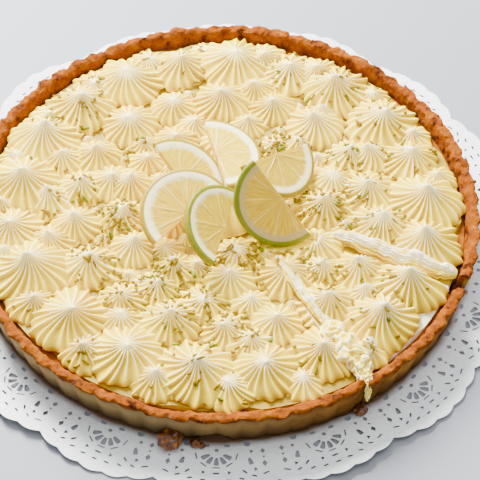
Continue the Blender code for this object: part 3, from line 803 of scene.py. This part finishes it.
def smear(name, side, reach, width, top, offset, cream, node):
    """Cream dragged along a cut by the knife: a long bar that slopes down to the cut, with fine streaks."""
    turn = math.radians(side)
    along = Vector((math.cos(turn), math.sin(turn)))
    across = Vector((-along.y, along.x))
    start, end = (distance * MM for distance in reach)
    middle = CUT_POINT + along * (start + end) / 2 + across * offset * MM
    low = CREAM_BASE + ROSETTE_SINK
    half_height = (top * MM - low) / 1.85
    bm = bmesh.new()
    painted_light = bm.verts.layers.float.new("painted_light")
    bmesh.ops.create_uvsphere(bm, u_segments=96, v_segments=64, radius=1)
    for vert in bm.verts:
        x, y, z = vert.co.z, vert.co.x, vert.co.y
        around = math.atan2(z, y)
        full = math.hypot(y, z) ** (0.5 if x > 0 else 0.8)
        streak = noise.noise(Vector((x * 3.5, math.cos(around) * 7, math.sin(around) * 7)))
        corner = full * (1 + 0.2 * math.cos(3 * (around - SMEAR_CREST)) + 0.24 * streak) / 1.2
        bend = 0.25 * noise.noise(Vector((x * 2.2, 3.1, 0.4))) + 0.12 * noise.noise(Vector((x * 14, 5, 1)))
        sink = 0.3 * noise.noise(Vector((x * 5, 8.3, 2))) + 0.25 * noise.noise(Vector((x * 17, y * 2, 6)))
        aside = width * MM * (corner * math.cos(around) + bend)
        place = middle + along * (end - start) / 2 * x + across * aside
        vert.co = (place.x, place.y, low + half_height * (0.85 + corner * (math.sin(around) + sink)))
        # Painted light: the top, turned to the light, is near white and the slope down to the cut is darker
        # yellow as painted shade; the streaks are marks in the cream
        vert[painted_light] = 0.05 + 0.85 * max(0, math.sin(around - 0.35)) ** 2 + 0.6 * streak
    bmesh.ops.recalc_face_normals(bm, faces=bm.faces)
    return add_piece(name, bm, cream, (node,))


def cream_lumps(cream):
    """The torn cream that the knife pushed up where it left the rim."""
    whole = bmesh.new()
    painted_light = whole.verts.layers.float.new("painted_light")
    for index, (x, y, z, radius, tall) in enumerate(RIM_LUMPS):
        made = bmesh.ops.create_icosphere(whole, subdivisions=5, radius=1)["verts"]
        for vert in made:
            bumps = 1.1 + 0.35 * noise.noise(vert.co * 1.3 + Vector((index * 5, 0, 0)))
            fold = abs(noise.noise(vert.co * 1.7 + Vector((index * 3, 4, 0))))
            fine = abs(noise.noise(vert.co * 3.6 + Vector((4, index * 3, 0))))
            size = vert.co * radius * MM * (bumps - 0.5 * fold - 0.14 * fine)
            vert.co = Vector((x, y, z)) * MM + Vector((size.x, size.y, size.z * tall))
            # Painted shade: darker in the folds and creases of the torn cream
            vert[painted_light] = 0.85 - 0.9 * fold - 0.3 * fine
    return add_piece("cream_torn_at_cut", whole, cream, ("cream_topping_slice",))


# The shell, the filling and the doily


def rim_height(turn):
    """How far the shell's top is above or below its mean height at an angle."""
    waves = math.sin(5 * turn + 0.4) + 0.8 * math.sin(13 * turn + 2) + 0.6 * math.sin(29 * turn)
    return RIM_WOBBLE * waves


def flute(turn):
    """How far a flute stands out at an angle: round lobes with narrow grooves between."""
    phase = (turn * FLUTES / (2 * math.pi)) % 1
    return FLUTE_DEPTH * (2 * math.sin(math.pi * phase) - 1)


def baked_shell(crust):
    """The fluted shell with its craggy browned rim, in the main part and the slice's."""
    # How far out from the foot and how far up, in mm, and the steps to the next point
    outline = (
        (-25.0, 0.0, 4), (-2.0, 0.0, 2), (-0.4, 0.6, 2), (0.4, 6.0, 4), (1.3, 12.0, 4), (2.4, 18.0, 4),
        (3.4, 23.0, 3), (4.3, 25.2, 2), (4.2, 26.4, 2), (3.0, 27.0, 3), (0.6, 26.8, 3), (-1.0, 25.8, 2),
        (-2.0, 23.0, 3), (-3.5, 17.0, 3), (-5.5, 8.0, 2), (-8.0, 5.2, 2), (-25.0, 5.0, 0),
    )
    bm = bmesh.new()
    points = []
    for (out, up, steps), (next_out, next_up, _) in zip(outline, outline[1:]):
        for step in range(steps):
            share = step / steps
            points.append((out + (next_out - out) * share, up + (next_up - up) * share))
    points.append(outline[-1][:2])
    verts = [bm.verts.new((FOOT_RADIUS + out * MM, 0, up * MM)) for out, up in points]
    edges = [bm.edges.new(pair) for pair in zip(verts, verts[1:])]
    turn_round(bm, verts + edges, 2 * math.pi, FLUTES * STEPS_PER_FLUTE, use_merge=True)
    bmesh.ops.holes_fill(bm, edges=[e for e in bm.edges if e.is_boundary], sides=0)
    notch, notch_size, notch_depth = FOOT_NOTCH
    # Without a seed, noise_vector differs from run to run
    noise.seed_set(CRUMB_SEED)
    for vert in bm.verts:
        turn = angle_of(vert)
        radius = math.hypot(vert.co.x, vert.co.y)
        height = vert.co.z
        share = height / SHELL_HEIGHT
        middle = FOOT_RADIUS + (RIM_RADIUS - FOOT_RADIUS) * share - SHELL_WALL * 0.4
        if radius > middle:
            radius += flute(turn) * (0.45 + 0.35 * share)
        if height > SHELL_HEIGHT / 2:
            height += rim_height(turn) * min(1, (share - 0.5) * 3)
        spot = Vector((radius * math.cos(turn), radius * math.sin(turn), height))
        rough = min(1, max(0, (share - 0.8) * 6))
        rough = max(rough, 0.9 if radius < middle and share > 0.6 else 0)
        coarse = noise.noise_vector(spot * 230) * 1.1 * MM * rough
        fine = noise.noise_vector(spot * 620) * 0.6 * MM * (0.25 + 0.75 * rough)
        shallow = noise.noise_vector(spot * 60) * 0.6 * MM
        if radius > FOOT_RADIUS - 20 * MM:
            spot += coarse + fine
            spot += Vector((shallow.x, shallow.y, 0))
        offset = spot - Vector(notch) * MM
        near = math.sqrt(sum((offset[i] / (notch_size[i] * MM)) ** 2 for i in range(3)))
        if near < 1.1:
            spot.y += notch_depth * MM * (1.1 - near)
        vert.co = spot + Vector((0, 0, SHELL_BASE))
        vert.co.z = max(vert.co.z, SHELL_BASE)
    bmesh.ops.recalc_face_normals(bm, faces=bm.faces)
    main, piece = split_by_cut(bm, CUT_WIDTH, CRUST_FAR_GAP)
    add_piece("shell_main", main, crust, ("crust_main",), 50)
    add_piece("shell_slice", piece, crust, ("crust_slice",), 50)


def filled_lemon(finish):
    """The lemon layer that shows at the rim, a little uneven."""
    low = SHELL_BASE + SHELL_FLOOR + 0.6 * MM
    bm = bmesh.new()
    bmesh.ops.create_cone(
        bm, cap_ends=True, segments=240, radius1=FOOT_RADIUS - SHELL_WALL - 3 * MM,
        radius2=FOOT_RADIUS - 3.6 * MM, depth=FILLING_TOP - low,
        matrix=Matrix.Translation((0, 0, (low + FILLING_TOP) / 2)),
    )
    main, piece = split_by_cut(bm, CUT_WIDTH, CRUST_FAR_GAP)
    add_piece("filling_main", main, finish, ("lemon_filling_main",), 40)
    add_piece("filling_slice", piece, finish, ("lemon_filling_slice",), 40)


def burnt_lumps(finish):
    """What leaked out and caramelised at the shell's foot."""
    whole = bmesh.new()
    for index, (x, y, z, radius) in enumerate(FOOT_LUMPS):
        made = bmesh.ops.create_icosphere(whole, subdivisions=4, radius=1)["verts"]
        for vert in made:
            bumps = 1 + 0.35 * noise.noise(vert.co * 2 + Vector((index * 4, 0, 0)))
            size = Vector((vert.co.x, vert.co.y, vert.co.z * 0.75)) * radius * MM * bumps
            vert.co = Vector((x * MM, y * MM, z * MM + SHELL_BASE)) + size
            vert.co.z = max(vert.co.z, SHELL_BASE)
    return add_piece("leaked_filling", whole, finish, ("crust_main",))


def pierce(bm, ring, turn, length, width, spin, taper=0.0, sides=8):
    """The outline of one hole, at a ring radius and an angle within the motif."""
    made = bmesh.ops.create_circle(bm, cap_ends=False, segments=sides, radius=1)["verts"]
    for vert in made:
        x, y = vert.co.x, vert.co.y
        if sides == 8:
            squareness = 1 / max(abs(x), abs(y)) ** 0.55
            x, y = x * squareness, y * squareness
        x, y = x * length / 2 * MM, y * width / 2 * MM * (1 + taper * x)
        c, s = math.cos(math.radians(spin)), math.sin(math.radians(spin))
        x, y = x * c - y * s, x * s + y * c
        place = Vector((ring * MM + x, y))
        angle = math.radians(turn)
        vert.co = (place.x * math.cos(angle) - place.y * math.sin(angle),
                   place.x * math.sin(angle) + place.y * math.cos(angle), 0)


def motif_holes(bm):
    """One motif of the lace: a fan of slots, a ring of dots, diamonds and dashes along the scallop."""
    for fan in range(-60, 61, 30):
        out, aside = 6.5 * math.cos(math.radians(fan)), 6.5 * math.sin(math.radians(fan))
        pierce(bm, FAN_RING + out, math.degrees(aside / FAN_RING), 5.2, 2.6, fan, 0.35)
    for fan in range(-72, 73, 36):
        out, aside = 11.5 * math.cos(math.radians(fan)), 11.5 * math.sin(math.radians(fan))
        pierce(bm, FAN_RING + out * 0.9, math.degrees(aside / 156), 0.9, 4.6, fan)
    for turn in (-9.3, 9.3):
        pierce(bm, 152.5, turn, 3.6, 3.0, 0, 0, 4)
        pierce(bm, 160.5, turn, 4.2, 3.0, 0, 0, 4)
        pierce(bm, 166.5, turn, 1.0, 4.0, 20 if turn > 0 else -20)
    for count in range(-3, 4):
        turn = count * 2.35
        pierce(bm, 170.5 - 0.30 * count * count, turn, 1.1, 3.0, -turn * 3)
    for turn in (-6.3, 6.3):
        pierce(bm, 147.5, turn, 3.0, 3.6, 0, -0.3)
        pierce(bm, 165.0, turn * 0.85, 3.2, 1.2, turn * 7)
    pierce(bm, 151.0, 0, 2.6, 2.6, 0, 0, 6)
    pierce(bm, 166.0, 0, 1.2, 3.8, 0)
    for side in (-1, 1):
        pierce(bm, 165.4, 2.4 * side, 3.0, 2.6, 0, 0, 3)
        pierce(bm, 158.5, 6.6 * side, 4.6, 2.4, 15 * side, 0.35)
        pierce(bm, 152.3, 7.0 * side, 2.2, 2.2, 0, 0, 6)
        pierce(bm, 148.0, 2.1 * side, 2.0, 3.4, 0)
        pierce(bm, 156.35, 9.3 * side, 1.5, 1.5, 0, 0, 6)
        pierce(bm, 163.8, 7.4 * side, 3.2, 2.8, 0, 0, 3)


def paper_lace(paper):
    """The doily: one pierced sixteenth, repeated round, then waved and given its thickness."""
    half = math.pi / DOILY_SCALLOPS
    bm = bmesh.new()
    motif_holes(bm)
    outline = []
    steps = 60
    for step in range(steps + 1):
        turn = -half + 2 * half * step / steps
        scallop = abs(math.cos(DOILY_SCALLOPS * turn / 2))
        bumps = 1.5 * MM * (1 - abs(math.cos(turn / half * math.pi * 2.5)))
        outline.append((DOILY_RADIUS - DOILY_SCALLOP_DEPTH * (1 - scallop) - bumps, turn))
    outline += [(ring * MM, half) for ring in (168, 158, 148)]
    outline += [(DOILY_INNER, half - 2 * half * step / 8) for step in range(9)]
    outline += [(ring * MM, -half) for ring in (148, 158, 168)]
    border = [bm.verts.new((reach * math.cos(turn), reach * math.sin(turn), 0)) for reach, turn in outline]
    for pair in zip(border, border[1:] + border[:1]):
        bm.edges.new(pair)
    bmesh.ops.triangle_fill(bm, use_beauty=True, use_dissolve=False, edges=bm.edges)
    geom = list(bm.verts) + list(bm.edges) + list(bm.faces)
    repeats = DOILY_SCALLOPS - 1
    turn_round(bm, geom, 2 * math.pi * repeats / DOILY_SCALLOPS, repeats, use_duplicate=True)
    bmesh.ops.remove_doubles(bm, verts=bm.verts, dist=0.02 * MM)
    edges = [e for e in bm.edges if e.is_boundary]
    inner = [e for e in edges if all(v.co.length < DOILY_INNER + 0.1 * MM for v in e.verts)]
    bmesh.ops.holes_fill(bm, edges=inner, sides=0)
    for vert in bm.verts:
        turn = angle_of(vert)
        radius = math.hypot(vert.co.x, vert.co.y)
        share = max(0, (radius - DOILY_FLAT_RADIUS) / (DOILY_RADIUS - DOILY_FLAT_RADIUS))
        wave = 0.5 + 0.5 * math.sin(8 * turn + 0.6) * math.cos(3 * turn)
        vert.co.z = DOILY_BASE + DOILY_LIFT * wave * share
    top = bmesh.ops.extrude_face_region(bm, geom=list(bm.faces))["geom"]
    raised = [v for v in top if isinstance(v, bmesh.types.BMVert)]
    bmesh.ops.translate(bm, verts=raised, vec=(0, 0, DOILY_PAPER))
    bmesh.ops.recalc_face_normals(bm, faces=bm.faces)
    return add_piece("paper_lace", bm, paper, ("paper_doily",), 35)


# The lemon halves and the zest


def lemon_halves(finish):
    """Six half slices with segments between raised walls, white pith and a rounded rind."""
    for index, (place, (green_share, ripe_share, start)) in enumerate(zip(LEMON_HALVES, LEMON_TINTS)):
        radius = place[4] * MM
        bm = bmesh.new()
        green = bm.verts.layers.float.new("green")
        ripe = bm.verts.layers.float.new("ripe")
        membrane = bm.verts.layers.float.new("membrane")
        uv = bm.loops.layers.uv.new("slice")
        line = [bm.verts.new((share, 0, 0)) for share, _ in ((0.0, 0),) + LEMON_FACE]
        edges = [bm.edges.new(pair) for pair in zip(line, line[1:])]
        turn_round(bm, line + edges, -math.pi, LEMON_SEGMENTS * STEPS_PER_SEGMENT)
        bmesh.ops.remove_doubles(bm, verts=bm.verts, dist=1e-5)
        sunk = {round(share, 3): down for share, down in LEMON_FACE}
        under = bmesh.ops.extrude_face_region(bm, geom=list(bm.faces))["geom"]
        lower = {v for v in under if isinstance(v, bmesh.types.BMVert)}
        for vert in bm.verts:
            share = vert.co.length
            turn = math.atan2(vert.co.y, vert.co.x)
            phase = (-turn / math.pi * LEMON_SEGMENTS * 0.94 + start) % 1
            wall = max(0, 1 - min(phase, 1 - phase) * 14) if share < 0.79 else 0
            core = max(0, 1 - share * 12)
            depth = sunk.get(round(share, 3), 0.1) * (1 - max(wall, core))
            pulp = 0.25 * noise.noise(Vector((turn * 9, share * 8, index))) if share < 0.78 else 0
            vert[membrane] = max(wall, core)
            vert[green] = green_share
            vert[ripe] = ripe_share
            down = (depth + pulp * 0.5) * MM
            vert.co = vert.co * radius
            vert.co.z = -SLICE_THICKNESS + down if vert in lower else -down
        for face in bm.faces:
            for loop in face.loops:
                loop[uv].uv = (loop.vert.co.x / radius / 2 + 0.5, loop.vert.co.y / radius / 2 + 0.5)
        bmesh.ops.transform(bm, verts=bm.verts, matrix=lemon_matrix(place))
        bmesh.ops.recalc_face_normals(bm, faces=bm.faces)
        add_piece(f"lemon_slice_{index + 1}", bm, finish, (f"lemon_half_{index + 1}",), 60)


def beside_cut(point):
    """Whether a point lies on the cream that the knife dragged along the two cuts."""
    half_width, from_reach = ZEST_CLEAR
    for side in (CUT_NEAR_SIDE, CUT_FAR_SIDE):
        start, normal = side_plane(side)
        away = point - start
        if abs(away.dot(normal)) < half_width and away.xy.length > from_reach:
            return True
    return False


def beside_lemon(point):
    """Whether a point lies under a lemon half or close to its rind."""
    for inverse, radius in LEMON_PRESSES:
        local = inverse @ point
        if local.xy.length < radius + 1 * MM and local.y < 1 * MM:
            return True
    return False


def scatter_zest(pieces, yellow, green):
    """Grated zest: short curled shreds that lie on the cream, mostly near the middle."""
    rng = random.Random(ZEST_SEED)
    whole = bmesh.new()
    for piece in pieces:
        whole.from_mesh(piece.data)
    tree = BVHTree.FromBMesh(whole)
    whole.free()
    below = Vector((0, 0, -1))
    made = {"yellow": bmesh.new(), "green": bmesh.new()}
    count = 0
    while count < ZEST_SHREDS:
        turn = rng.uniform(0, 2 * math.pi)
        reach = ZEST_REACH * rng.uniform(0.2, 1) ** 0.9
        if reach > ZEST_DENSE and rng.random() < 0.5:
            continue
        if reach * math.cos(turn) > ZEST_RIGHT and rng.random() < 0.35:
            continue
        start = Vector((reach * math.cos(turn), reach * math.sin(turn), 90 * MM))
        point, normal, _, _ = tree.ray_cast(start, below)
        length = rng.choice(ZEST_LENGTHS) * MM
        width = rng.uniform(*ZEST_WIDTHS) * MM
        if point is None or normal.z < 0.3 or beside_cut(point) or beside_lemon(point):
            continue
        group = made["green" if rng.random() < ZEST_GREEN else "yellow"]
        shred = bmesh.new()
        bmesh.ops.create_cube(shred, size=1)
        long_edges = [e for e in shred.edges if abs(e.verts[0].co.x - e.verts[1].co.x) > 0.5]
        bmesh.ops.subdivide_edges(shred, edges=long_edges, cuts=3, use_grid_fill=True)
        curl = rng.uniform(-1.2, 1.2)
        bend = rng.uniform(-0.5, 0.6)
        lie = normal.to_track_quat("Z", "Y").to_matrix().to_4x4()
        spin = Matrix.Rotation(rng.uniform(0, math.pi), 4, "Z")
        place = Matrix.Translation(point + normal * width * 0.25) @ lie @ spin
        for vert in shred.verts:
            x, y, z = vert.co
            thin = 1 - 0.48 * (2 * x) ** 2
            aside = y * thin + curl * x * x
            vert.co = place @ Vector((x * length, aside * width, (z * 0.6 + bend * x * x) * width))
        add_to(group, shred)
        count += 1
    for name, finish in (("yellow", yellow), ("green", green)):
        bmesh.ops.recalc_face_normals(made[name], faces=made[name].faces)
        add_piece("zest_" + name, made[name], finish, ("cream_topping_main",))


# The room


def studio():
    """The floor, soft light from behind and above, and the camera."""
    bm = bmesh.new()
    bmesh.ops.create_grid(bm, x_segments=1, y_segments=1, size=3)
    mesh = bpy.data.meshes.new("floor")
    bm.to_mesh(mesh)
    bm.free()
    mesh.materials.append(table_top())
    floor = bpy.data.objects.new("floor", mesh)
    bpy.context.scene.collection.objects.link(floor)

    world = bpy.data.worlds.new("soft_sky")
    world.use_nodes = True
    world.node_tree.nodes["Background"].inputs["Color"].default_value = linear("#E8EEF6")
    world.node_tree.nodes["Background"].inputs["Strength"].default_value = 1.0
    bpy.context.scene.world = world
    for name, place, size, power in (
        ("window", Vector((-0.5, 1.1, 1.0)), 0.7, 188),
        ("ceiling", Vector((0.2, 0.1, 1.6)), 1.2, 15),
    ):
        light = bpy.data.lights.new(name, "AREA")
        light.size = size
        light.energy = power
        lamp = bpy.data.objects.new(name, light)
        lamp.location = place
        lamp.rotation_euler = (-place).to_track_quat("-Z", "Y").to_euler()
        bpy.context.scene.collection.objects.link(lamp)

    camera = bpy.data.objects.new("camera", bpy.data.cameras.new("camera"))
    camera.data.lens = VIEW_LENS
    camera.data.sensor_width = 36
    elevation = math.radians(VIEW_ELEVATION)
    back = Vector((0, -math.cos(elevation), math.sin(elevation)))
    tilt = Matrix.Rotation(math.pi / 2 - elevation, 4, "X")
    roll = Matrix.Rotation(math.radians(VIEW_ROLL), 4, "Z")
    camera.matrix_world = Matrix.Translation(VIEW_TARGET + back * VIEW_DISTANCE) @ tilt @ roll
    bpy.context.scene.collection.objects.link(camera)
    bpy.context.scene.camera = camera


def main():
    cream = whipped_cream()
    crust = baked_crust()
    paper_lace(doily_paper())
    baked_shell(crust)
    filled_lemon(lemon_filling())
    burnt_lumps(burnt_sugar())
    rosettes = cream_rosettes(cream)
    cream_layer(cream)
    smears = [
        smear("cream_far_smear", CUT_FAR_SIDE, *FAR_SMEAR, cream, "cream_topping_main"),
        smear("cream_near_smear", CUT_NEAR_SIDE, *NEAR_SMEAR, cream, "cream_topping_slice"),
        cream_lumps(cream),
    ]
    lemon_halves(cut_lemon())
    yellow = zest_peel("yellow_zest", "#826800", "#A68A00")
    green = zest_peel("green_zest", "#626C00", "#868C00")
    scatter_zest(rosettes + smears, yellow, green)
    # Only now, because the zest leaves bare the stars that are still inside out
    face_outward(rosettes)
    studio()


main()
